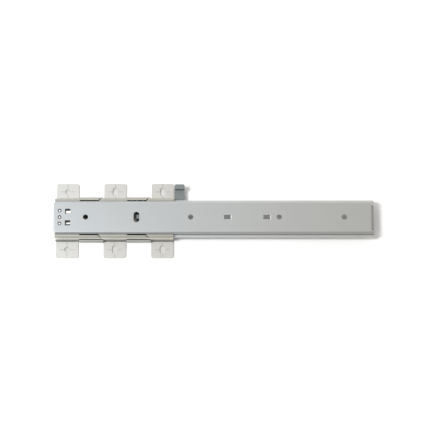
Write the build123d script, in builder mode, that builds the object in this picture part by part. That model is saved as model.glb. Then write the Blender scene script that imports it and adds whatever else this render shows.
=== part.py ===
from build123d import *
from math import atan2, cos, degrees, pi, radians, sin
import os

os.makedirs("parts", exist_ok=True)

# The origin is on the floor, midway between the two front mounting holes.
# +X runs to the rear of the cabinet, +Y to the lever side, and +Z up to the drawer.

# Sheet metal and overall sizes
rail_length = 400.0
rail_sheet = 1.2
plate_sheet = 1.5
total_height = 16.6
rail_overhang = 16.8
race_length = 148.0
race_inset = 1.5
slide_travel = 160.0
web_bend = 3.0

# Balls, races and cages
ball_diameter = 3.5
ball_play = 0.05
ball_pitch = 7.2
ball_sides = 10
ball_latitudes = (0, 32, 64)
balls_per_row = 8
wall_half_width = 21.5
lip_half_width = 24.2
lip_depth = 7.4
running_gap = 0.3
cage_sheet = 0.4
cage_gap = 0.25
cage_bend = 1.5
cage_toe = 5.0
cage_lift = 0.9
stop_length = 2.0
stop_width = 3.4
peg_width = 1.4
fit_gap = 0.05

# Feet and side flanges of the foot plate
foot_pitch = 59.5
foot_width = 28.0
foot_reach = 48.7
foot_hole_y = 38.0
foot_hole_radius = 3.3
foot_slot_length = 10.6
foot_corner = 2.5
scribe_width = 0.5
scribe_depth = 0.25
scribe_length = 4.0
scribe_gap = 1.0
flange_half_width = 28.7
flange_height = 8.0
flange_bend = 2.5
notch_start = 1.6
notch_end = 6.8
notch_half_width = 23.1
notch_rake = 3.7
slit_width = 0.8
rivet_y = 13.5
rear_rivet_inset = 12.2
rivet_radius = 2.0
rivet_head_radius = 3.2
rivet_head_height = 0.9

# Holes in the drawer rail's web, as distances from its front end
stake_station = 7.6
stake_pitch = 8.4
stake_radius = 2.3
window_station = 17.7
window_y = 7.6
window_size = 6.6
front_hole_station = 40.0
slot_station = 103.5
middle_hole_station = 171.2
front_tab_station = 217.6
rear_tab_station = 266.7
back_hole_station = 281.7
rear_hole_inset = 37.0
web_hole_radius = 3.3
slot_width = 7.2
slot_length = 13.6
tab_length = 9.6
tab_width = 5.6
front_tab_drop = 0.8
rear_tab_drop = 3.4
end_wall_drop = 6.0
end_relief = 2.6
end_round = 1.1

# Front block, closing bumper and detent
block_front_gap = 2.6
block_length = 23.0
block_half_width = 13.5
block_corner = 2.0
pocket_wall = 0.7
pocket_depth = 5.0
post_length = 4.6
post_width = 3.8
post_rise = 0.8
bumper_length = 5.0
bumper_width = 12.0
bumper_corner = 1.2
bumper_head_radius = 2.4
leaf_sheet = 0.5
leaf_width = 8.0
leaf_length = 18.0
leaf_rise = 2.3

# Release lever
lever_sheet = 3.0
lever_gap = 1.5
lever_width = 12.4
lever_reach = 44.7
lever_top = 12.0
pad_start = 28.2
pad_ridge_y = 37.6
pivot_inset = 6.7
pivot_y = 4.0
pivot_radius = 2.0
hub_radius = 5.5
nose_length = 5.2
nose_side = 5.0
nose_clearance = 1.0
lever_corner = 1.5
pad_slope = 2.4
washer_sheet = 0.6
spring_wire = 0.8
spring_sides = 4
spring_radius = 3.2
spring_turns = 2
clip_sheet = 1.0
clip_radius = 4.6
tongue_side = 10.0

# Values that follow from the sizes above
rail_front = -rail_overhang
rail_rear = rail_front + rail_length
race_front = rail_front + race_inset
race_rear = race_front + race_length
race_radius = ball_diameter / 2 + ball_play
race_bend = race_radius + rail_sheet
lip_top = total_height - lip_depth
ball_y = wall_half_width + race_radius
ball_z = lip_top + race_radius
race_wall = ball_y + race_bend
flange_top = ball_z + race_bend
flange_edge = wall_half_width + running_gap
web_underside = total_height - rail_sheet
race_floor = plate_sheet + rail_sheet
foot_stations = [index * foot_pitch for index in range(3)]
gap_starts = [station + foot_width / 2 for station in foot_stations[:2]]
gap_length = foot_pitch - foot_width
rivet_stations = [foot_stations[0], race_rear - rear_rivet_inset]
rivet_places = [(station, side * rivet_y) for station in rivet_stations for side in (-1, 1)]
cage_travel = slide_travel / 2
cage_length = race_length - 2 * (stop_length + running_gap) - cage_travel
cage_rear = race_rear - stop_length - running_gap
cage_front = cage_rear - cage_length
cage_outer = race_wall - rail_sheet - cage_gap
lever_bottom = race_floor + running_gap
hub_top = lever_bottom + lever_sheet
bumper_front = rail_front + block_front_gap + block_length + running_gap
block_bottom = race_floor + leaf_rise + leaf_sheet + running_gap
stop_height = lip_top - rail_sheet - running_gap - race_floor
bumper_height = web_underside - rear_tab_drop - rivet_head_height - running_gap - race_floor
lever_x = race_rear + lever_gap + lever_width / 2
pivot_x = race_rear - pivot_inset
nose_height = web_underside - front_tab_drop - nose_clearance - lever_bottom
stake_places = [(rail_front + stake_station, offset) for offset in (-stake_pitch, 0, stake_pitch)]
window_places = [(rail_front + window_station, side * window_y) for side in (-1, 1)]
round_stations = [front_hole_station, middle_hole_station, back_hole_station, rail_length - rear_hole_inset]
peg_places = [(stop_length / 2 + race_front, side * (ball_y - stop_width / 2)) for side in (-1, 1)]
rear_peg_places = [(race_rear - stop_length / 2, y) for x, y in peg_places]

# Drawer rail: a long channel, web up, whose walls turn out into lips that carry the lower ball races.
# Two tabs are lanced down from its web, and its rear end is turned down between two corner reliefs.
drawer_section = [
    (0, total_height),
    (wall_half_width, total_height),
    (wall_half_width, lip_top),
    (lip_half_width, lip_top),
]
with BuildPart() as drawer_rail:
    with BuildSketch(Plane.YZ.offset(rail_front)):
        with BuildLine():
            FilletPolyline(*drawer_section, radius=[web_bend, race_radius])
            offset(amount=rail_sheet, side=Side.RIGHT)
        make_face()
        mirror(about=Plane.YZ)
    extrude(amount=rail_length)
    with BuildSketch(Plane.XY.offset(total_height)):
        with Locations(*[(rail_front + station, 0) for station in round_stations]):
            Circle(web_hole_radius)
        with Locations(*stake_places):
            Circle(stake_radius + fit_gap)
        with Locations(*window_places):
            Rectangle(window_size, window_size)
        with Locations((rail_front + slot_station, 0)):
            SlotOverall(slot_length, slot_width, rotation=90)
        with Locations(*[(rail_front + station, 0) for station in (front_tab_station, rear_tab_station)]):
            Rectangle(tab_length, tab_width)
        with Locations((rail_rear, wall_half_width - web_bend), (rail_rear, web_bend - wall_half_width)):
            Circle(end_relief)
    extrude(amount=-web_bend, mode=Mode.SUBTRACT)
    for station, drop in ((front_tab_station, front_tab_drop), (rear_tab_station, rear_tab_drop)):
        tab_rear = rail_front + station + tab_length / 2
        with BuildSketch(Plane.XZ.offset(-tab_width / 2)):
            with BuildLine():
                Polyline(
                    (tab_rear, total_height),
                    (tab_rear, web_underside),
                    (tab_rear - rail_sheet, web_underside - drop),
                    (tab_rear - 2 * rail_sheet, web_underside - drop),
                    (tab_rear - rail_sheet, total_height),
                    close=True,
                )
            make_face()
        extrude(amount=tab_width)
    with BuildSketch(Plane.YZ.offset(rail_rear)):
        with Locations((0, total_height)):
            Rectangle(
                2 * (wall_half_width - web_bend - end_relief), end_wall_drop, align=(Align.CENTER, Align.MAX)
            )
    extrude(amount=-rail_sheet)
    end_edges = drawer_rail.edges().filter_by(Axis.Y).group_by(Axis.X)[-1].sort_by(Axis.Z)[-1:]
    fillet(end_edges, radius=end_round)
drawer_rail.part.label = "drawer_rail"
export_step(drawer_rail.part, "parts/drawer_rail.step")

# Cabinet rail: the outer ball race. Its flanges roll in over the balls, and between the feet they are
# notched back and split by a raked slit.
race_section = [
    (0, plate_sheet),
    (race_wall, plate_sheet),
    (race_wall, flange_top),
    (flange_edge, flange_top),
]
with BuildPart() as cabinet_rail:
    with BuildSketch(Plane.YZ.offset(race_front)):
        with BuildLine():
            FilletPolyline(*race_section, radius=[race_bend, race_bend])
            offset(amount=rail_sheet, side=Side.LEFT)
        make_face()
        mirror(about=Plane.YZ)
    extrude(amount=race_length)
    with BuildSketch(Plane.XY.offset(flange_top)):
        for start in gap_starts:
            notch_front = start + notch_start
            notch_rear = start + gap_length - notch_end
            with BuildLine():
                Polyline(
                    (notch_front, flange_edge - running_gap),
                    (notch_front, notch_half_width),
                    (notch_rear, notch_half_width),
                    (notch_rear + notch_rake, race_wall + running_gap),
                    (notch_rear + notch_rake + slit_width, race_wall + running_gap),
                    (notch_rear + slit_width, notch_half_width - slit_width),
                    (notch_rear + slit_width, flange_edge - running_gap),
                    close=True,
                )
            make_face()
        mirror(about=Plane.XZ)
    extrude(amount=ball_z - flange_top, mode=Mode.SUBTRACT)
    with BuildSketch(Plane.XY.offset(plate_sheet)):
        with Locations(*rivet_places):
            Circle(rivet_radius + fit_gap)
        with Locations(*peg_places, *rear_peg_places):
            Rectangle(peg_width + 2 * fit_gap, peg_width + 2 * fit_gap)
        with Locations((pivot_x, pivot_y)):
            Circle(pivot_radius + fit_gap)
        with Locations((bumper_front + bumper_length / 2, 0), (race_front + leaf_width / 2, 0)):
            Circle(rivet_radius + fit_gap)
    extrude(amount=rail_sheet, mode=Mode.SUBTRACT)
cabinet_rail.part.label = "cabinet_rail"
export_step(cabinet_rail.part, "parts/cabinet_rail.step")

# Foot plate: one pressing under the cabinet rail, with six feet, low side flanges between the feet and a
# tongue under the lever. Each foot has a hole, round in front and oblong behind, and a scribed cross.
flange_section = [(0, 0), (flange_half_width, 0), (flange_half_width, flange_height)]
with BuildPart() as foot_plate:
    with BuildSketch():
        with Locations((race_front, 0)):
            Rectangle(race_length, 2 * race_wall, align=(Align.MIN, Align.CENTER))
        with Locations((race_rear - foot_corner, -tongue_side)):
            Rectangle(
                lever_x + lever_width / 2 - race_rear + foot_corner,
                tongue_side + race_wall,
                align=(Align.MIN, Align.MIN),
            )
    extrude(amount=plate_sheet)
    with BuildSketch():
        with Locations(*[(station, 0) for station in foot_stations]):
            RectangleRounded(foot_width, 2 * foot_reach, foot_corner)
    extrude(amount=plate_sheet)
    for start in gap_starts:
        with BuildSketch(Plane.YZ.offset(start + notch_start / 2)):
            with BuildLine():
                FilletPolyline(*flange_section, radius=flange_bend)
                offset(amount=plate_sheet, side=Side.LEFT)
            make_face()
            mirror(about=Plane.YZ)
        extrude(amount=gap_length - notch_start)
    with BuildSketch():
        with Locations((0, foot_hole_y), (0, -foot_hole_y)):
            Circle(foot_hole_radius)
        with Locations(*[(station, side * foot_hole_y) for station in foot_stations[1:] for side in (-1, 1)]):
            SlotOverall(foot_slot_length, 2 * foot_hole_radius, rotation=90)
        with Locations(*rivet_places):
            Circle(rivet_radius + fit_gap)
        with Locations((pivot_x, pivot_y)):
            Circle(pivot_radius + fit_gap)
    extrude(amount=plate_sheet, mode=Mode.SUBTRACT)
    with BuildSketch(Plane.XY.offset(plate_sheet)):
        for station in foot_stations:
            hole_half = foot_hole_radius if station == 0 else foot_slot_length / 2
            across = foot_hole_radius + scribe_gap + scribe_length / 2
            along = hole_half + scribe_gap + scribe_length / 2
            for hole_y in (-foot_hole_y, foot_hole_y):
                with Locations((station - across, hole_y), (station + across, hole_y)):
                    Rectangle(scribe_length, scribe_width)
                with Locations((station, hole_y - along), (station, hole_y + along)):
                    Rectangle(scribe_width, scribe_length)
    extrude(amount=-scribe_depth, mode=Mode.SUBTRACT)
foot_plate.part.label = "foot_plate"
export_step(foot_plate.part, "parts/foot_plate.step")

# Plate rivets: they hold the cabinet rail on the foot plate, with flat heads inside the channel.
with BuildPart() as plate_rivets:
    with BuildSketch(Plane.XY.offset(fit_gap)):
        with Locations(*rivet_places):
            Circle(rivet_radius)
    extrude(amount=race_floor - fit_gap)
    with BuildSketch(Plane.XY.offset(race_floor)):
        with Locations(*rivet_places):
            Circle(rivet_head_radius)
    extrude(amount=rivet_head_height)
plate_rivets.part.label = "plate_rivets"
export_step(plate_rivets.part, "parts/plate_rivets.step")

# One ball, cut in flat bands so that the long rows of them stay light.
ball_radius = ball_diameter / 2
with BuildPart() as ball:
    for low, high in zip(ball_latitudes, ball_latitudes[1:]):
        band_rise = ball_radius * (sin(radians(high)) - sin(radians(low)))
        band_shrink = ball_radius * (cos(radians(low)) - cos(radians(high))) * cos(pi / ball_sides)
        with BuildSketch(Plane.XY.offset(ball_radius * sin(radians(low)))):
            RegularPolygon(ball_radius * cos(radians(low)), ball_sides)
        extrude(amount=band_rise, taper=degrees(atan2(band_shrink, band_rise)))
    mirror(about=Plane.XY)

# Ball cages: a thin steel comb on each side. Its wall stands between the lip and the race wall, its open
# pockets hold the balls, and its toe runs flat under the lip.
first_ball = cage_front + cage_length / 2 - (balls_per_row - 1) / 2 * ball_pitch
ball_stations = [first_ball + index * ball_pitch for index in range(balls_per_row)]
comb_section = [
    (cage_outer - cage_toe, race_floor + cage_lift),
    (cage_outer, race_floor + cage_lift),
    (cage_outer, ball_z + cage_sheet),
]
for name, side in (("left", 1), ("right", -1)):
    with BuildPart() as ball_cage:
        with BuildSketch(Plane.YZ.offset(cage_front)):
            with BuildLine():
                FilletPolyline(*comb_section, radius=cage_bend)
                offset(amount=cage_sheet, side=Side.LEFT)
            make_face()
        extrude(amount=cage_length)
        with BuildSketch(Plane.XZ.offset(-cage_outer - cage_gap)):
            with Locations(*[(station, ball_z - race_radius + cage_gap) for station in ball_stations]):
                Rectangle(2 * (race_radius - cage_gap), 2 * race_radius, align=(Align.CENTER, Align.MIN))
        extrude(amount=race_radius, mode=Mode.SUBTRACT)
        if side < 0:
            mirror(about=Plane.XZ, mode=Mode.REPLACE)
    ball_cage.part.label = "ball_cage_" + name
    export_step(ball_cage.part, "parts/ball_cage_" + name + ".step")

    with BuildPart() as ball_row:
        with Locations(*[(station, side * ball_y, ball_z) for station in ball_stations]):
            add(ball.part)
    ball_row.part.label = "ball_row_" + name
    export_step(ball_row.part, "parts/ball_row_" + name + ".step")

# Cage stops: moulded pads pegged into the race floor at its two ends, where the cages come to rest.
for name, places in (("front", peg_places), ("rear", rear_peg_places)):
    with BuildPart() as cage_stops:
        with BuildSketch(Plane.XY.offset(race_floor)):
            with Locations(*places):
                Rectangle(stop_length, stop_width)
        extrude(amount=stop_height)
        with BuildSketch(Plane.XY.offset(plate_sheet)):
            with Locations(*places):
                Rectangle(peg_width, peg_width)
        extrude(amount=rail_sheet)
    cage_stops.part.label = "cage_stops_" + name
    export_step(cage_stops.part, "parts/cage_stops_" + name + ".step")

# Front block: a white moulding under the front of the drawer rail. Three round stakes fill holes in the
# web, and two posts stand in pockets under the square windows.
with BuildPart() as front_block:
    with BuildSketch(Plane.XY.offset(block_bottom)):
        with Locations((rail_front + block_front_gap, 0)):
            Rectangle(block_length, 2 * block_half_width, align=(Align.MIN, Align.CENTER))
    extrude(amount=web_underside - block_bottom)
    fillet(front_block.edges().filter_by(Axis.Z), radius=block_corner)
    with BuildSketch(Plane.XY.offset(web_underside)):
        with Locations(*window_places):
            Rectangle(window_size + pocket_wall, window_size + pocket_wall)
    extrude(amount=-pocket_depth, mode=Mode.SUBTRACT)
    with BuildSketch(Plane.XY.offset(web_underside - pocket_depth)):
        with Locations(*[(x + pocket_wall, y - pocket_wall) for x, y in window_places]):
            Rectangle(post_length, post_width)
    extrude(amount=pocket_depth + post_rise)
    with BuildSketch(Plane.XY.offset(web_underside)):
        with Locations(*stake_places):
            Circle(stake_radius)
    extrude(amount=rail_sheet)
front_block.part.label = "front_block"
export_step(front_block.part, "parts/front_block.step")

# Closing bumper: a rubber pad on the race floor that the front block meets when the drawer is shut, and
# its rivet.
bumper_x = bumper_front + bumper_length / 2
with BuildPart() as closing_bumper:
    with BuildSketch(Plane.XY.offset(race_floor)):
        with Locations((bumper_x, 0)):
            RectangleRounded(bumper_length, bumper_width, bumper_corner)
    extrude(amount=bumper_height)
    with BuildSketch(Plane.XY.offset(race_floor)):
        with Locations((bumper_x, 0)):
            Circle(rivet_radius)
    extrude(amount=bumper_height, mode=Mode.SUBTRACT)
closing_bumper.part.label = "closing_bumper"
export_step(closing_bumper.part, "parts/closing_bumper.step")

with BuildPart() as bumper_rivet:
    with BuildSketch(Plane.XY.offset(plate_sheet)):
        with Locations((bumper_x, 0)):
            Circle(rivet_radius - fit_gap)
    extrude(amount=rail_sheet + bumper_height)
    with BuildSketch(Plane.XY.offset(race_floor + bumper_height)):
        with Locations((bumper_x, 0)):
            Circle(bumper_head_radius)
    extrude(amount=rivet_head_height)
bumper_rivet.part.label = "bumper_rivet"
export_step(bumper_rivet.part, "parts/bumper_rivet.step")

# Detent spring: a humped leaf riveted at the front of the race floor, under the front block, and its rivet.
leaf_front = race_front + fit_gap
leaf_bend = leaf_front + leaf_width
with BuildPart() as detent_spring:
    with BuildSketch(Plane.XZ.offset(-leaf_width / 2)):
        with BuildLine():
            Line((leaf_front, race_floor), (leaf_bend, race_floor))
            ThreePointArc(
                (leaf_bend, race_floor),
                (leaf_bend + (leaf_length - leaf_width) / 2, race_floor + leaf_rise),
                (leaf_front + leaf_length, race_floor),
            )
            offset(amount=leaf_sheet, side=Side.LEFT)
        make_face()
    extrude(amount=leaf_width)
    with BuildSketch(Plane.XY.offset(race_floor)):
        with Locations((race_front + leaf_width / 2, 0)):
            Circle(rivet_radius + fit_gap)
    extrude(amount=leaf_sheet, mode=Mode.SUBTRACT)
detent_spring.part.label = "detent_spring"
export_step(detent_spring.part, "parts/detent_spring.step")

with BuildPart() as detent_rivet:
    with BuildSketch(Plane.XY.offset(plate_sheet)):
        with Locations((race_front + leaf_width / 2, 0)):
            Circle(rivet_radius)
    extrude(amount=rail_sheet + leaf_sheet)
    with BuildSketch(Plane.XY.offset(race_floor + leaf_sheet)):
        with Locations((race_front + leaf_width / 2, 0)):
            Circle(rivet_head_radius)
    extrude(amount=rivet_head_height)
detent_rivet.part.label = "detent_rivet"
export_step(detent_rivet.part, "parts/detent_rivet.step")

# Release lever: a grey moulding that turns on a pin in the race floor. Its nose waits for the lanced tab
# at full travel, and its arm passes under the drawer rail's lip to the finger pad outside.
nose_rear = rail_front + rear_tab_station + tab_length / 2 - 2 * rail_sheet - slide_travel - running_gap
nose_front = nose_rear - nose_length
arm_front = lever_x - lever_width / 2
arm_rear = lever_x + lever_width / 2
with BuildPart() as release_lever:
    with BuildSketch(Plane.XY.offset(lever_bottom)):
        with BuildLine():
            FilletPolyline(
                (nose_front, pivot_y - nose_side),
                (nose_rear + nose_length, pivot_y - nose_side),
                (pivot_x, pivot_y - hub_radius),
                (arm_rear, pivot_y - hub_radius),
                (arm_rear, lever_reach),
                (arm_front, lever_reach),
                (arm_front, pivot_y + hub_radius),
                (pivot_x, pivot_y + hub_radius),
                (nose_front, pivot_y + running_gap),
                radius=lever_corner,
                close=True,
            )
        make_face()
    extrude(amount=lever_sheet)
    with BuildSketch(Plane.XY.offset(lever_bottom)):
        with Locations((nose_front, pivot_y - nose_side)):
            Rectangle(nose_length, nose_side, align=(Align.MIN, Align.MIN))
    extrude(amount=nose_height)
    with BuildSketch(Plane.XY.offset(lever_bottom)):
        with BuildLine():
            FilletPolyline(
                (arm_front, pad_start),
                (arm_front, lever_reach),
                (arm_rear, lever_reach),
                (arm_rear, pad_start),
                radius=lever_corner,
            )
            Line((arm_rear, pad_start), (arm_front, pad_start))
        make_face()
    extrude(amount=lever_top - lever_bottom)
    with BuildSketch(Plane.YZ.offset(arm_front)):
        with BuildLine():
            Polyline(
                (pad_ridge_y, lever_top),
                (pad_ridge_y, lever_top - pad_slope / 2),
                (lever_reach, lever_top - pad_slope),
                (lever_reach, lever_top),
                close=True,
            )
        make_face()
    extrude(amount=lever_width, mode=Mode.SUBTRACT)
    with BuildSketch(Plane.XY.offset(lever_bottom)):
        with Locations((pivot_x, pivot_y)):
            Circle(pivot_radius + fit_gap)
    extrude(amount=lever_sheet, mode=Mode.SUBTRACT)
release_lever.part.label = "release_lever"
export_step(release_lever.part, "parts/release_lever.step")

# Lever pin, washer, spring and clip: a plain pin through the race floor, a washer over the hub, a torsion
# spring of square wire coiled round the pin, and a push-on clip that keeps them on it.
washer_bottom = hub_top + running_gap
spring_bottom = washer_bottom + washer_sheet
spring_pitch = spring_wire + fit_gap
spring_height = spring_turns * spring_pitch + spring_wire
clip_bottom = spring_bottom + spring_height + running_gap
with BuildPart() as lever_pin:
    with BuildSketch(Plane.XY.offset(fit_gap)):
        with Locations((pivot_x, pivot_y)):
            Circle(pivot_radius)
    extrude(amount=clip_bottom + clip_sheet - fit_gap)
lever_pin.part.label = "lever_pin"
export_step(lever_pin.part, "parts/lever_pin.step")

for name, bottom, radius, height in (
    ("washer", washer_bottom, hub_radius, washer_sheet),
    ("clip", clip_bottom, clip_radius, clip_sheet),
):
    with BuildPart() as lever_ring:
        with BuildSketch(Plane.XY.offset(bottom)):
            with Locations((pivot_x, pivot_y)):
                Circle(radius)
                Circle(pivot_radius + fit_gap, mode=Mode.SUBTRACT)
        extrude(amount=height)
    lever_ring.part.label = "lever_" + name
    export_step(lever_ring.part, "parts/lever_" + name + ".step")

spring_base = Vector(pivot_x, pivot_y, spring_bottom + spring_wire / 2)
with BuildPart() as lever_spring:
    with BuildLine():
        coil = Helix(
            pitch=spring_pitch, height=spring_turns * spring_pitch, radius=spring_radius, center=spring_base
        )
    with BuildSketch(Plane(origin=coil @ 0, z_dir=coil % 0)):
        RegularPolygon(spring_wire / 2, spring_sides)
    sweep(path=coil)
lever_spring.part.label = "lever_spring"
export_step(lever_spring.part, "parts/lever_spring.step")
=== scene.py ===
import math

import bmesh
import bpy
from mathutils import Matrix, Vector


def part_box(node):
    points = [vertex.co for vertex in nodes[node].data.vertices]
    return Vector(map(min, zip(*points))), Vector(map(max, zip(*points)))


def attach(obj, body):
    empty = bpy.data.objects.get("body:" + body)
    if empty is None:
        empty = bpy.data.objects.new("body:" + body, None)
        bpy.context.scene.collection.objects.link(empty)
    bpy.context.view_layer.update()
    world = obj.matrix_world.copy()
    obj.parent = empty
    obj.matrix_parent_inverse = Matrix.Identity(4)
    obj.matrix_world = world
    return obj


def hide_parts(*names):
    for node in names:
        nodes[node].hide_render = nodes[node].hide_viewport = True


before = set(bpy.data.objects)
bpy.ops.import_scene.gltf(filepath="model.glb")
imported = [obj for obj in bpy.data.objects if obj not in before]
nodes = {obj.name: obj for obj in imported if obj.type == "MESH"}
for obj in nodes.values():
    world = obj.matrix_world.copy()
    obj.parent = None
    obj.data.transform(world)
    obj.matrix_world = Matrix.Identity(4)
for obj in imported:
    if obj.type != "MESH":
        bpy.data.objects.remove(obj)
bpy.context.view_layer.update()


# Drawer rail. The long moving channel, rolled from 1.2 mm strip and zinc plated. Its web carries the drawer,
# and the lips along both walls are the lower ball races. Holes, windows and tabs are pierced after rolling,
# the front edge is rolled over and the rear end is turned down between two corner reliefs.
mm = 0.001


def arc(centre, radius, begin, finish, steps=6):
    """Points on an arc, with its angles in degrees."""
    turns = [math.radians(begin + (finish - begin) * step / steps) for step in range(steps + 1)]
    return [(centre[0] + radius * math.cos(turn), centre[1] + radius * math.sin(turn)) for turn in turns]


def ring(centre, radius, points):
    """The outline of a circle."""
    return arc(centre, radius, 0, 360 - 360 / points, points - 1)


def rectangle(low_a, low_b, high_a, high_b):
    """The outline of a rectangle."""
    return [(low_a, low_b), (high_a, low_b), (high_a, high_b), (low_a, high_b)]


def bar(mesh, outline, start, finish, along):
    """Adds a closed bar to a mesh: an outline swept from start to finish along x, y or z."""
    to_point = {
        "x": lambda a, b, c: (c, a, b),
        "y": lambda a, b, c: (a, c, b),
        "z": lambda a, b, c: (a, b, c),
    }[along]
    ends = [[mesh.verts.new(to_point(a, b, c)) for a, b in outline] for c in (start, finish)]
    faces = [mesh.faces.new(ends[0]), mesh.faces.new(ends[1])]
    for index in range(len(outline)):
        after = (index + 1) % len(outline)
        faces.append(mesh.faces.new((ends[0][index], ends[0][after], ends[1][after], ends[1][index])))
    bmesh.ops.recalc_face_normals(mesh, faces=faces)


def piece(name, mesh):
    """A new object in the scene from a mesh being built."""
    data = bpy.data.meshes.new(name)
    mesh.to_mesh(data)
    mesh.free()
    made = bpy.data.objects.new(name, data)
    bpy.context.scene.collection.objects.link(made)
    return made


def settle(made):
    """Applies the modifiers of a piece to its mesh."""
    bpy.context.view_layer.update()
    shaped = bpy.data.meshes.new_from_object(made.evaluated_get(bpy.context.evaluated_depsgraph_get()))
    made.modifiers.clear()
    made.data = shaped


def combine(made, other, operation):
    """Cuts the other mesh from a piece, or joins it on, and removes it."""
    step = made.modifiers.new(operation.lower(), "BOOLEAN")
    step.operation = operation
    step.solver = "EXACT"
    step.object = other
    settle(made)
    bpy.data.objects.remove(other)


def soften(made, width, segments=2):
    """Breaks the sharp edges of a piece and shades it smooth."""
    edge = made.modifiers.new("edges", "BEVEL")
    edge.width = width
    edge.segments = segments
    edge.limit_method = "ANGLE"
    edge.angle_limit = math.radians(35)
    for face in made.data.polygons:
        face.use_smooth = True
    normals = made.modifiers.new("normals", "WEIGHTED_NORMAL")
    normals.keep_sharp = True
    settle(made)


def finish_with(made, material):
    """Gives a piece its one material."""
    made.data.materials.clear()
    made.data.materials.append(material)


def grey(value, tint=(0, 0, 0)):
    """A near grey colour with a small tint."""
    return tuple(value + part for part in tint) + (1,)


def shader_of(material):
    """The node tree of a material and its Principled shader."""
    material.use_nodes = True
    tree = material.node_tree
    return tree, tree.nodes["Principled BSDF"]


def place_in(tree, kind="Object"):
    """The X, Y and Z of a point in the piece's own space, in metres, or of another kind of place."""
    place = tree.nodes.new("ShaderNodeTexCoord")
    parts = tree.nodes.new("ShaderNodeSeparateXYZ")
    tree.links.new(place.outputs[kind], parts.inputs["Vector"])
    return parts.outputs


def grain(tree, scale, stretch, detail, seed):
    """A noise in the piece's own space, in metres, drawn out by a stretch along each axis."""
    place = tree.nodes.new("ShaderNodeTexCoord")
    fit = tree.nodes.new("ShaderNodeMapping")
    fit.inputs["Scale"].default_value = stretch
    fit.inputs["Location"].default_value = (seed, seed * 0.37, 0)
    noise = tree.nodes.new("ShaderNodeTexNoise")
    noise.inputs["Scale"].default_value = scale
    noise.inputs["Detail"].default_value = detail
    tree.links.new(place.outputs["Object"], fit.inputs["Vector"])
    tree.links.new(fit.outputs["Vector"], noise.inputs["Vector"])
    return noise.outputs["Fac"]


def spread(tree, source, low, high):
    """The share, from 0 to 1, of a value's way from low to high."""
    node = tree.nodes.new("ShaderNodeMapRange")
    node.inputs["From Min"].default_value = low
    node.inputs["From Max"].default_value = high
    tree.links.new(source, node.inputs["Value"])
    return node.outputs["Result"]


def ramp(tree, source, stops):
    """A colour ramp on a value, from (position, colour) stops."""
    node = tree.nodes.new("ShaderNodeValToRGB")
    node.color_ramp.elements[0].position, node.color_ramp.elements[0].color = stops[0]
    node.color_ramp.elements[1].position, node.color_ramp.elements[1].color = stops[-1]
    for position, colour in stops[1:-1]:
        node.color_ramp.elements.new(position).color = colour
    tree.links.new(source, node.inputs["Fac"])
    return node.outputs["Color"]


def cloudy(tree, noise, low, high):
    """A ramp between two colours over the middle of a noise."""
    return ramp(tree, noise, [(0.3, low), (0.7, high)])


def give(tree, given, socket):
    """Links a socket to another, or sets it to a fixed value."""
    if isinstance(given, bpy.types.NodeSocket):
        tree.links.new(given, socket)
    else:
        socket.default_value = given


def computed(tree, operation, first, second):
    """The result of a sum on two values."""
    node = tree.nodes.new("ShaderNodeMath")
    node.operation = operation
    give(tree, first, node.inputs[0])
    give(tree, second, node.inputs[1])
    return node.outputs["Value"]


def mixed(tree, first, second, share=1.0, blend="MIX"):
    """Two colours mixed. Each may be a socket or a fixed value."""
    node = tree.nodes.new("ShaderNodeMix")
    node.data_type = "RGBA"
    node.blend_type = blend
    give(tree, share, node.inputs["Factor"])
    give(tree, first, node.inputs["A"])
    give(tree, second, node.inputs["B"])
    return node.outputs["Result"]


def bumped(tree, shader, noise, strength, distance):
    """A fine relief in the surface."""
    bump = tree.nodes.new("ShaderNodeBump")
    bump.inputs["Strength"].default_value = strength
    bump.inputs["Distance"].default_value = distance
    tree.links.new(noise, bump.inputs["Height"])
    tree.links.new(bump.outputs["Normal"], shader.inputs["Normal"])


# Painted light along the length: brighter and cooler at the front, darker and warmer at the rear.
painted_falloff_length = 380 * mm
front_painted_light = (0.98, 1.042, 1.083, 1)
rear_painted_shade = (0.966, 0.971, 0.932, 1)
cloud_depth, sheen_depth = 0.012, 0.015
painted_shade_top = 18
no_painted_shade = ((0, 1), (painted_shade_top, 1))


def zinc_plated(name, shade, tint, rough, metal, seed, painted_shade_by_height=no_painted_shade):
    """Rolled strip with a bright zinc plating: faint lines along the strip and cloudy patches, with painted
    light that leaves it brighter and cooler at the front and darker and warmer at the rear. The painted
    shade by height gives (height in mm, share of the shade) up the rolled section."""
    material = bpy.data.materials.new(name)
    tree, shader = shader_of(material)
    lines = grain(tree, scale=900, stretch=(0.03, 1, 1), detail=3, seed=seed)
    clouds = grain(tree, scale=22, stretch=(0.4, 1, 1), detail=2, seed=seed + 3)
    patches = cloudy(tree, clouds, grey(shade - cloud_depth, tint), grey(shade + cloud_depth, tint))
    place = place_in(tree)
    painted_falloff = mixed(tree, front_painted_light, rear_painted_shade, spread(tree, place["X"], 0, painted_falloff_length))
    plated = mixed(tree, patches, painted_falloff, blend="MULTIPLY")
    # Painted light and shade by height, from the given shares up the section.
    height = spread(tree, place["Z"], 0, painted_shade_top * mm)
    height_painted_shade = ramp(tree, height, [(level / painted_shade_top, grey(share)) for level, share in painted_shade_by_height])
    tree.links.new(mixed(tree, plated, height_painted_shade, blend="MULTIPLY"), shader.inputs["Base Color"])
    sheen = cloudy(tree, lines, grey(rough - sheen_depth), grey(rough + sheen_depth))
    tree.links.new(sheen, shader.inputs["Roughness"])
    bumped(tree, shader, lines, strength=0.02, distance=0.02 * mm)
    shader.inputs["Metallic"].default_value = metal
    return material


def shade_painted_in_box(material, colour, reach):
    """Paints shade: another colour inside a box of the piece. Reach gives (axis, low, high)."""
    tree, shader = shader_of(material)
    place = place_in(tree)
    inside = None
    for axis, low, high in reach:
        for operation, edge in (("GREATER_THAN", low), ("LESS_THAN", high)):
            step = computed(tree, operation, place[axis], edge)
            inside = step if inside is None else computed(tree, "MULTIPLY", inside, step)
    unshaded_colour = shader.inputs["Base Color"].links[0].from_socket
    tree.links.new(mixed(tree, unshaded_colour, colour, inside), shader.inputs["Base Color"])


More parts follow.
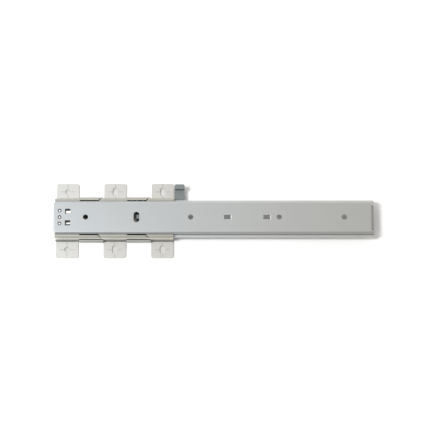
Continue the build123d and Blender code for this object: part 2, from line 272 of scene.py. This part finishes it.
rail_low, rail_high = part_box("drawer_rail")
rail_front, rail_rear, rail_top = rail_low.x, rail_high.x, rail_high.z
sheet = 1.2 * mm
wall = 21.5 * mm
lip = rail_high.y
lip_top = rail_low.z + sheet
web_bend = 3.0 * mm
race = 1.2 * mm
half_section = [(0, rail_top)]
half_section += arc((wall - web_bend, rail_top - web_bend), web_bend, 90, 0)
half_section += arc((wall + race, lip_top + race), race, 180, 270)
half_section += [(lip, lip_top), (lip, lip_top - sheet)]
half_section += arc((wall + race, lip_top + race), race + sheet, 270, 180)
half_section += arc((wall - web_bend, rail_top - web_bend), web_bend - sheet, 0, 90)
half_section += [(0, rail_top - sheet)]
other_half = [(-across, up) for across, up in reversed(half_section) if across > 0]
channel = bmesh.new()
bar(channel, half_section + other_half, rail_front, rail_rear, "x")
drawer_rail = piece("plated_drawer_rail", channel)

# The pierced openings, placed from the rail's front end
hole_places = [(rail_front + station, 0) for station in (40.0 * mm, 171.2 * mm, 281.7 * mm, 363.0 * mm)]
hole_radius = 3.3 * mm
stake_places = [(rail_front + 7.6 * mm, side * 8.4 * mm) for side in (-1, 0, 1)]
stake_radius = 2.35 * mm
window_x, window_y, window_half = 17.7 * mm, 7.6 * mm, 3.3 * mm
slot_x, slot_radius, slot_run = 103.5 * mm, 3.6 * mm, 3.2 * mm
tab_length, tab_half = 9.6 * mm, 2.8 * mm
tab_rears = [rail_front + station + tab_length / 2 for station in (217.6 * mm, 266.7 * mm)]
front_roll, end_bend = 1.25 * mm, 4.0 * mm
flat_half, relief = 18.5 * mm, 2.6 * mm
punch_depth = 4.8 * mm
cut_low, cut_high = rail_top - punch_depth, rail_top + sheet
punch = bmesh.new()
for places, radius in ((hole_places, hole_radius), (stake_places, stake_radius)):
    for place in places:
        bar(punch, ring(place, radius, 36), cut_low, cut_high, "z")
slot_outline = arc((rail_front + slot_x, slot_run), slot_radius, 0, 180, 16)
slot_outline += arc((rail_front + slot_x, -slot_run), slot_radius, 180, 360, 16)
bar(punch, slot_outline, cut_low, cut_high, "z")
for side in (-1, 1):
    middle_x, middle_y = rail_front + window_x, side * window_y
    window = rectangle(middle_x - window_half, middle_y - window_half,
                       middle_x + window_half, middle_y + window_half)
    bar(punch, window, cut_low, cut_high, "z")
for tab_rear in tab_rears:
    bar(punch, rectangle(tab_rear - tab_length, -tab_half, tab_rear, tab_half), cut_low, cut_high, "z")
front_cut = (rail_front - sheet, rail_front + front_roll)
rear_cut = (rail_rear - end_bend, rail_rear + sheet)
for start, finish in (front_cut, rear_cut):
    bar(punch, rectangle(start, -flat_half, finish, flat_half), cut_low, cut_high, "z")
combine(drawer_rail, piece("punch", punch), "DIFFERENCE")

# The walls and lips are sheared a little behind the rolled front edge
wall_setback = 1.7 * mm
shear_side = flat_half + 0.2 * mm
shear = bmesh.new()
for side in (-1, 1):
    offcut = rectangle(rail_front - sheet, side * shear_side,
                       rail_front + wall_setback, side * (lip + sheet))
    bar(shear, offcut, rail_low.z - sheet, cut_high, "z")
combine(drawer_rail, piece("shear", shear), "DIFFERENCE")

# The turned pieces of the web: the rolled front edge, the rear end wall and the two lanced tabs
overlap = 0.5 * mm
turned = bmesh.new()
roll_centre = (rail_front + front_roll, rail_top - front_roll)
roll_foot = rail_top - front_roll - overlap
roll_outline = [(roll_centre[0] + overlap, rail_top)] + arc(roll_centre, front_roll, 90, 180)
roll_outline += [(rail_front, roll_foot), (rail_front + sheet, roll_foot)]
roll_outline += arc(roll_centre, front_roll - sheet, 180, 90)
roll_outline += [(roll_centre[0] + overlap, rail_top - sheet)]
bar(turned, roll_outline, -flat_half, flat_half, "y")
end_wall_drop = 6.0 * mm
end_foot = rail_top - end_wall_drop
end_centre = (rail_rear - end_bend, rail_top - end_bend)
end_outline = [(end_centre[0] - overlap, rail_top - sheet)] + arc(end_centre, end_bend - sheet, 90, 0)
end_outline += [(rail_rear - sheet, end_foot), (rail_rear, end_foot)]
end_outline += arc(end_centre, end_bend, 0, 90) + [(end_centre[0] - overlap, rail_top)]
bar(turned, end_outline, relief - flat_half, flat_half - relief, "y")
tab_bend = 2.4 * mm
for tab_rear, tab_turn, tab_foot in zip(tab_rears, (160, 180), (0, 2.2 * mm)):
    tab_centre = (tab_rear, rail_top - tab_bend)
    tab_outline = [(tab_rear + overlap, rail_top)] + arc(tab_centre, tab_bend, 90, tab_turn)
    if tab_foot:
        tab_outline.append((tab_rear - tab_bend, rail_top - tab_bend - tab_foot))
        tab_outline.append((tab_rear - tab_bend + sheet, rail_top - tab_bend - tab_foot))
    tab_outline += arc(tab_centre, tab_bend - sheet, tab_turn, 90) + [(tab_rear + overlap, rail_top - sheet)]
    bar(turned, tab_outline, -tab_half, tab_half, "y")
combine(drawer_rail, piece("turned_edges", turned), "UNION")
soften(drawer_rail, width=0.25 * mm)

# Painted light and shade by height: the lips are painted bright, the walls dark and the web between the two.
# A dark film is painted along the ball paths as shade in the gap between the rails.
rail_zinc = zinc_plated(
    "rail_zinc", shade=0.637, tint=(0, 0, 0), rough=0.37, metal=0.8, seed=1.0,
    painted_shade_by_height=((9.3, 1), (10.2, 0.44), (14.6, 0.44), (15.6, 0.6), (16.45, 0.6), (16.58, 0.785)),
)
# Painted shade: a dark film along the ball paths, in the gap between the rails.
painted_shade_film = (0.08, 0.077, 0.07, 1)
painted_shade_run = ("X", -10.0 * mm, 130.0 * mm)
lip_painted_shade = ("Z", 8.5 * mm, 12.5 * mm)
for low, high in ((-23.8 * mm, -21.7 * mm), (21.7 * mm, 26.2 * mm)):
    shade_painted_in_box(rail_zinc, painted_shade_film, (painted_shade_run, ("Y", low, high), lip_painted_shade))
finish_with(drawer_rail, rail_zinc)
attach(drawer_rail, "drawer")
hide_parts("drawer_rail")


def wear(node, material):
    """The CAD piece keeps its shape and takes this finish."""
    finish_with(nodes[node], material)


# Painted light and shade by height: bright and dark bands up the race wall.
race_zinc = zinc_plated(
    "race_zinc", shade=0.82, tint=(0.05, 0.0, -0.1), rough=0.4, metal=0.75, seed=5.0,
    painted_shade_by_height=((2.4, 0.3), (2.5, 1), (2.8, 1), (2.9, 0.3), (5, 0.5), (6.4, 1), (9.6, 1), (12, 0.9),
             (13.2, 0.44)),
)
# Painted shade: a dark film along the races, in the gap between the rails.
race_painted_shade = ("Z", 5.0 * mm, 13.0 * mm)
for low, high in ((-25.7 * mm, -20.0 * mm), (20.0 * mm, 26.2 * mm)):
    shade_painted_in_box(race_zinc, painted_shade_film, (painted_shade_run, ("Y", low, high), race_painted_shade))
wear("cabinet_rail", race_zinc)

# Foot plate. A heavier pressing with six feet, warmer and duller than the rails. Its side flanges are
# painted darker than its feet as shade, and a painted shadow line lies at the root of the near ones. Each
# foot has a pierced hole and a scribed cross for the fitter.
# Painted shade by height: the side flanges are painted darker than the feet.
plate_zinc = zinc_plated(
    "plate_zinc", shade=0.492, tint=(0.03, 0.0, -0.03), rough=0.45, metal=0.6, seed=9.0,
    painted_shade_by_height=((1.6, 1), (3, 0.66), (8, 0.66)),
)
# A painted shadow line at the root of the near feet, where the rail's wall shades the plate.
shade_painted_in_box(plate_zinc, painted_shade_film, (("Y", -27.55 * mm, -26.5 * mm), ("Z", 1.0 * mm, 1.6 * mm)))
wear("foot_plate", plate_zinc)

foot_pitch = 59.5 * mm
hole_y = 38.0 * mm
plate_top = 1.5 * mm
round_half, oblong_half = 3.3 * mm, 5.3 * mm
scribe_width, scribe_depth = 0.35 * mm, 0.02 * mm
along_start, along_end = 3.6 * mm, 9.4 * mm
across_gap, across_end = 0.3 * mm, 10.2 * mm
scribes = bmesh.new()
for station, hole_half in enumerate((round_half, oblong_half, oblong_half)):
    strokes = [(turn, along_start, along_end) for turn in (0, 180)]
    strokes += [(turn, hole_half + across_gap, across_end) for turn in (90, 270)]
    for side in (-1, 1):
        middle = Vector((station * foot_pitch, side * hole_y))
        for turn, start, finish in strokes:
            direction = Vector((math.cos(math.radians(turn)), math.sin(math.radians(turn))))
            across = Vector((-direction.y, direction.x)) * scribe_width / 2
            corners = [middle + direction * start - across, middle + direction * finish - across,
                       middle + direction * finish + across, middle + direction * start + across]
            bar(scribes, [tuple(corner) for corner in corners], plate_top - scribe_depth,
                plate_top + scribe_depth, "z")
scribed_lines = piece("scribed_lines", scribes)
scribed_steel = zinc_plated(
    "scribed_steel", shade=0.24, tint=(0.01, 0.005, 0), rough=0.6, metal=0.3, seed=11.0,
)
finish_with(scribed_lines, scribed_steel)
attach(scribed_lines, "base")

# Rivets, pin and washer. Plain steel turned to size, with a light plating. The rivets have flat heads inside
# the channel, and the pin stands in the race floor with the washer over the lever's hub.
turned_steel = zinc_plated("turned_steel", shade=0.5, tint=(0, 0, 0), rough=0.35, metal=0.85, seed=13.0)
for name in ("plate_rivets", "bumper_rivet", "detent_rivet", "lever_pin", "lever_washer"):
    wear(name, turned_steel)

# Cages, leaf and clip. Thin hard spring strip, stamped and blackened, and its colour darkened further as
# painted shade for the cages in the gap between the rails. The cages run loose between the two rails, the
# leaf is riveted down, and the clip is pushed on the pin.
# Blackened spring steel, darkened further as painted shade for the cages between the rails.
blackened_shaded_strip = zinc_plated(
    "blackened_shaded_strip", shade=0.1, tint=(0, 0, 0.005), rough=0.33, metal=0.85, seed=17.0,
)
for name in ("ball_cage_left", "ball_cage_right", "detent_spring", "lever_clip"):
    wear(name, blackened_shaded_strip)

# Lever spring. Hard drawn round wire, wound two turns round the lever's pin. It is held between the washer
# and the clip, and it turns the lever back to rest.
spring_low, spring_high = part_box("lever_spring")
spring_x, spring_y = (spring_low.x + spring_high.x) / 2, (spring_low.y + spring_high.y) / 2
wire = 0.4 * mm
coil_turns, coil_steps = 2, 72
coil_radius = (spring_high.x - spring_low.x) / 2 - wire
coil_rise = spring_high.z - spring_low.z - 2 * wire
coil = bpy.data.curves.new("wire_coil", "CURVE")
coil.dimensions = "3D"
coil.bevel_depth = wire
coil.bevel_resolution = 3
path = coil.splines.new("POLY")
path.points.add(coil_steps)
for index, point in enumerate(path.points):
    turn = coil_turns * 2 * math.pi * index / coil_steps
    point.co = (spring_x + coil_radius * math.cos(turn), spring_y + coil_radius * math.sin(turn),
                spring_low.z + wire + coil_rise * index / coil_steps, 1)
wire_coil = bpy.data.objects.new("wire_coil", coil)
bpy.context.scene.collection.objects.link(wire_coil)
finish_with(wire_coil, blackened_shaded_strip)
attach(wire_coil, "base")
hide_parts("lever_spring")

# Balls. Chrome steel, 3.5 mm across and eight to a side, coloured dark as painted shade in the gap between
# the rails. They are held loosely in the open pockets of the cages, between the races of the two rails.
# Painted shade: the balls are coloured dark to read as shade in the gap.
painted_shade_chrome = zinc_plated(
    "painted_shade_chrome", shade=0.12, tint=(0, 0, 0.005), rough=0.3, metal=1.0, seed=21.0,
)
balls_in_row = 8
ball_pitch = 7.2 * mm
ball_radius = 1.75 * mm
for side in ("left", "right"):
    row_low, row_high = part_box("ball_row_" + side)
    row = bmesh.new()
    for index in range(balls_in_row):
        place = Vector((row_low.x + ball_radius + index * ball_pitch, (row_low.y + row_high.y) / 2,
                        (row_low.z + row_high.z) / 2))
        bmesh.ops.create_icosphere(row, subdivisions=3, radius=ball_radius, matrix=Matrix.Translation(place))
    for face in row.faces:
        face.smooth = True
    balls = piece("shade_darkened_balls_" + side, row)
    finish_with(balls, painted_shade_chrome)
    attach(balls, "cage_" + side)
    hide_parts("ball_row_" + side)


# Front block. A white acetal moulding under the front of the web. Three round studs are staked over in the
# web's holes, and two posts stand in open pockets behind the square windows. The pockets are painted dark
# inside as shade.
def moulded(name, colour, rough, seed, mottle=0.04, spark=0.06):
    """Injection moulded plastic: an even colour with a fine spark texture."""
    material = bpy.data.materials.new(name)
    tree, shader = shader_of(material)
    cells = grain(tree, scale=1800, stretch=(1, 1, 1), detail=2, seed=seed)
    clouds = grain(tree, scale=120, stretch=(1, 1, 1), detail=1, seed=seed + 2)
    low = tuple(part * (1 - mottle) for part in colour) + (1,)
    high = tuple(min(part * (1 + mottle), 1) for part in colour) + (1,)
    tree.links.new(cloudy(tree, clouds, low, high), shader.inputs["Base Color"])
    tree.links.new(cloudy(tree, cells, grey(rough - spark), grey(rough + spark)), shader.inputs["Roughness"])
    bumped(tree, shader, cells, strength=0.12, distance=0.04 * mm)
    return material


white_acetal = moulded("white_acetal", colour=(0.72, 0.72, 0.7), rough=0.45, seed=2.0)
# Painted shade: dark grey inside the stud and window pockets, where shade falls.
stud_shade = (("X", rail_front + 5.2 * mm, rail_front + 10.0 * mm), ("Y", -11.0 * mm, 11.0 * mm),
              ("Z", 9.5 * mm, 15.2 * mm))
window_shade = (("X", rail_front + 12.2 * mm, rail_front + 21.6 * mm), ("Y", -11.6 * mm, -3.6 * mm),
                ("Z", 9.0 * mm, 14.0 * mm))
for pocket_shade in (stud_shade, window_shade):
    shade_painted_in_box(white_acetal, grey(0.12), pocket_shade)
block_low, block_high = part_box("front_block")
block_outline = rectangle(block_low.x, block_low.y, block_high.x, block_high.y)
body = bmesh.new()
bar(body, block_outline, block_low.z, rail_top - sheet, "z")
front_block = piece("staked_front_block", body)
post_x = rail_front + window_x
pocket_front, pocket_rear = window_half + 2.0 * mm, window_half + 0.4 * mm
pocket_near, pocket_far = window_half + 0.6 * mm, window_half + 1.6 * mm
stud_pocket_depth = 7.0 * mm
pockets = bmesh.new()
for side in (-1, 1):
    post_y = side * window_y
    pocket = rectangle(post_x - pocket_front, post_y - pocket_near,
                       post_x + pocket_rear, post_y + pocket_far)
    bar(pockets, pocket, block_low.z - mm, rail_top, "z")
for place in stake_places:
    bar(pockets, ring(place, stake_radius, 24), rail_top - stud_pocket_depth, rail_top, "z")
combine(front_block, piece("pockets", pockets), "DIFFERENCE")
post_front, post_rear = 2.0 * mm, window_half + mm
far_post = (1, -2.7 * mm, 0.7 * mm, 16.1 * mm)
near_post = (-1, -1.1 * mm, 1.3 * mm, 14.3 * mm)
stud_radius, stud_low, stud_high = 1.25 * mm, rail_top - 7.5 * mm, rail_top - 0.3 * mm
fittings = bmesh.new()
for side, low, high, top in (far_post, near_post):
    post_y = side * window_y
    post = rectangle(post_x - post_front, post_y + low, post_x + post_rear, post_y + high)
    bar(fittings, post, block_low.z + mm, top, "z")
for place in stake_places:
    bar(fittings, ring(place, stud_radius, 24), stud_low, stud_high, "z")
combine(front_block, piece("fittings", fittings), "UNION")
soften(front_block, width=0.35 * mm, segments=3)
finish_with(front_block, white_acetal)
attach(front_block, "drawer")
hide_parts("front_block")

# Cage stops. Small pads of the same white acetal, each moulded with a peg that sits in the race floor. They
# stand at both ends of the cabinet rail, where the cages come to rest.
for name in ("cage_stops_front", "cage_stops_rear"):
    wear(name, white_acetal)

# Closing bumper. A pad of black moulded rubber on the race floor, held by a rivet of its own. The front
# block meets it when the drawer is shut, so that the drawer stops softly.
black_rubber = moulded("black_rubber", colour=(0.03, 0.03, 0.03), rough=0.7, seed=4.0)
wear("closing_bumper", black_rubber)

# Release lever. One grey nylon moulding that turns on the pin in the race floor. Its low finger pad ends in
# a raised ridge outside the rail, and its nose stands up in front of the pivot to catch the lanced tab.
lever_low, lever_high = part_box("release_lever")
pin_low, pin_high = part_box("lever_pin")
pivot_x, pivot_y = (pin_low.x + pin_high.x) / 2, (pin_low.y + pin_high.y) / 2
arm_width, corner = 12.4 * mm, 1.8 * mm
arm_front, arm_rear, reach = lever_high.x - arm_width, lever_high.x, lever_high.y
base_z, pad_top = lever_low.z, 7.0 * mm
arm_top, ridge_top = base_z + 3.0 * mm, base_z + 9.0 * mm
hub, bore_radius = 5.5 * mm, 2.05 * mm
nose_length, nose_width = 5.2 * mm, 5.0 * mm
nose_front, nose_side = lever_low.x, pivot_y - nose_width
neck_side = pivot_y + 0.3 * mm
pad_start, ridge_start = 25.7 * mm, 38.5 * mm
arm_outline = [
    (nose_front, nose_side), (nose_front + 2 * nose_length, nose_side), (pivot_x, pivot_y - hub),
    (arm_rear, pivot_y - hub), (arm_rear, pad_start + corner), (arm_front, pad_start + corner),
    (arm_front, pivot_y + hub), (pivot_x, pivot_y + hub), (nose_front, neck_side),
]
nose_outline = rectangle(nose_front, nose_side, nose_front + nose_length, nose_side + nose_width)
rounded_end = arc((arm_rear - corner, reach - corner), corner, 0, 90, 5)
rounded_end += arc((arm_front + corner, reach - corner), corner, 90, 180, 5)
pad_outline = [(arm_front, pad_start), (arm_rear, pad_start)] + rounded_end
ridge_outline = [(arm_front, ridge_start), (arm_rear, ridge_start)] + rounded_end
arms = bmesh.new()
bar(arms, arm_outline, base_z, arm_top, "z")
release_lever = piece("moulded_release_lever", arms)
for name, outline, top in (
    ("nose", nose_outline, lever_high.z), ("pad", pad_outline, pad_top), ("ridge", ridge_outline, ridge_top),
):
    raised = bmesh.new()
    bar(raised, outline, base_z, top, "z")
    combine(release_lever, piece(name, raised), "UNION")
bore = bmesh.new()
bar(bore, ring((pivot_x, pivot_y), bore_radius, 24), base_z - mm, arm_top + mm, "z")
combine(release_lever, piece("bore", bore), "DIFFERENCE")
soften(release_lever, width=0.5 * mm, segments=3)
grey_nylon = moulded("grey_nylon", colour=(0.152, 0.17, 0.174), rough=0.5, seed=6.0)
finish_with(release_lever, grey_nylon)
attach(release_lever, "lever")
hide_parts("release_lever")

# Floor, light and camera. A white light table that glows faintly, with painted shade under the feet's holes.
# One soft lamp stands at the left and a small box hangs overhead, in a pale studio, and the camera looks
# down through a long lens.
table_gap = 0.05 * mm
bpy.ops.mesh.primitive_plane_add(size=20, location=(0, 0, -table_gap))
floor = bpy.context.object
floor.name = "white_table"
table_paint = bpy.data.materials.new("table_white")
table_tree, table_shader = shader_of(table_paint)
table_clouds = grain(table_tree, scale=3, stretch=(1, 1, 1), detail=1, seed=0)
table_tone = ramp(table_tree, table_clouds, [(0.4, grey(0.775)), (0.6, grey(0.79))])
table_tree.links.new(table_tone, table_shader.inputs["Base Color"])
table_shader.inputs["Roughness"].default_value = 0.9
table_shader.inputs["Emission Color"].default_value = (1, 1, 1, 1)
table_shader.inputs["Emission Strength"].default_value = 0.06
# Painted shade on the table under each foot, seen through the feet's holes.
foot_shade = grey(0.47, tint=(0.005, 0, -0.01))
shade_half = 8.0 * mm
for station in range(3):
    for side in (-1, 1):
        foot_x, foot_y = station * foot_pitch, side * hole_y
        shade_painted_in_box(table_paint, foot_shade, (("X", foot_x - shade_half, foot_x + shade_half),
                                          ("Y", foot_y - shade_half, foot_y + shade_half)))
finish_with(floor, table_paint)

scene = bpy.context.scene
scene.view_settings.view_transform = "Standard"
world = bpy.data.worlds.new("studio")
scene.world = world
world.use_nodes = True
studio = world.node_tree
studio_edge = 0.9
studio_warmth = (1.0, 0.985, 0.965, 1)
studio_tones = ((0, 0.42), (0.08, 0.2), (0.16, 0.175), (0.4, 0.233), (0.7, 0.233), (0.85, 0.354),
                (0.93, 0.42), (1, 1.0))
studio_side = spread(studio, place_in(studio, "Generated")["Y"], -studio_edge, studio_edge)
studio_tone = ramp(studio, studio_side, [(position, grey(tone)) for position, tone in studio_tones])
backdrop = studio.nodes["Background"]
studio.links.new(mixed(studio, studio_tone, studio_warmth, blend="MULTIPLY"), backdrop.inputs["Color"])
backdrop.inputs["Strength"].default_value = 2.4


def lamp(name, place, aim, size, watts):
    """A square soft lamp that looks at a point."""
    data = bpy.data.lights.new(name, "AREA")
    data.size = size
    data.energy = watts
    lit = bpy.data.objects.new(name, data)
    lit.location = place
    lit.rotation_euler = (Vector(aim) - Vector(place)).to_track_quat("-Z", "Y").to_euler()
    scene.collection.objects.link(lit)


lamp("key_lamp", place=(-1.2, -0.15, 2.2), aim=(0.18, 0, 0), size=0.8, watts=62)
lamp("overhead_box", place=(-0.42, 0.39, 1.2), aim=(-0.42, 0.39, 0), size=0.6, watts=0.35)

image_width = 428
photo_left, photo_right = 53.5, 374.0
photo_middle = 217.0
camera_distance = 3.2
camera_elevation = math.radians(72)
metres_per_pixel = (rail_rear - rail_front) / (photo_right - photo_left)
target = Vector((
    rail_front + (image_width / 2 - photo_left) * metres_per_pixel,
    (photo_middle - image_width / 2) * metres_per_pixel / math.sin(camera_elevation),
    rail_top,
))
camera_data = bpy.data.cameras.new("photo_camera")
camera_data.sensor_width = 36
camera_data.lens = camera_data.sensor_width * camera_distance / (image_width * metres_per_pixel)
camera = bpy.data.objects.new("photo_camera", camera_data)
toward = Vector((0, -math.cos(camera_elevation), math.sin(camera_elevation)))
camera.location = target + toward * camera_distance
camera.rotation_euler = (-toward).to_track_quat("-Z", "Y").to_euler()
scene.collection.objects.link(camera)
scene.camera = camera
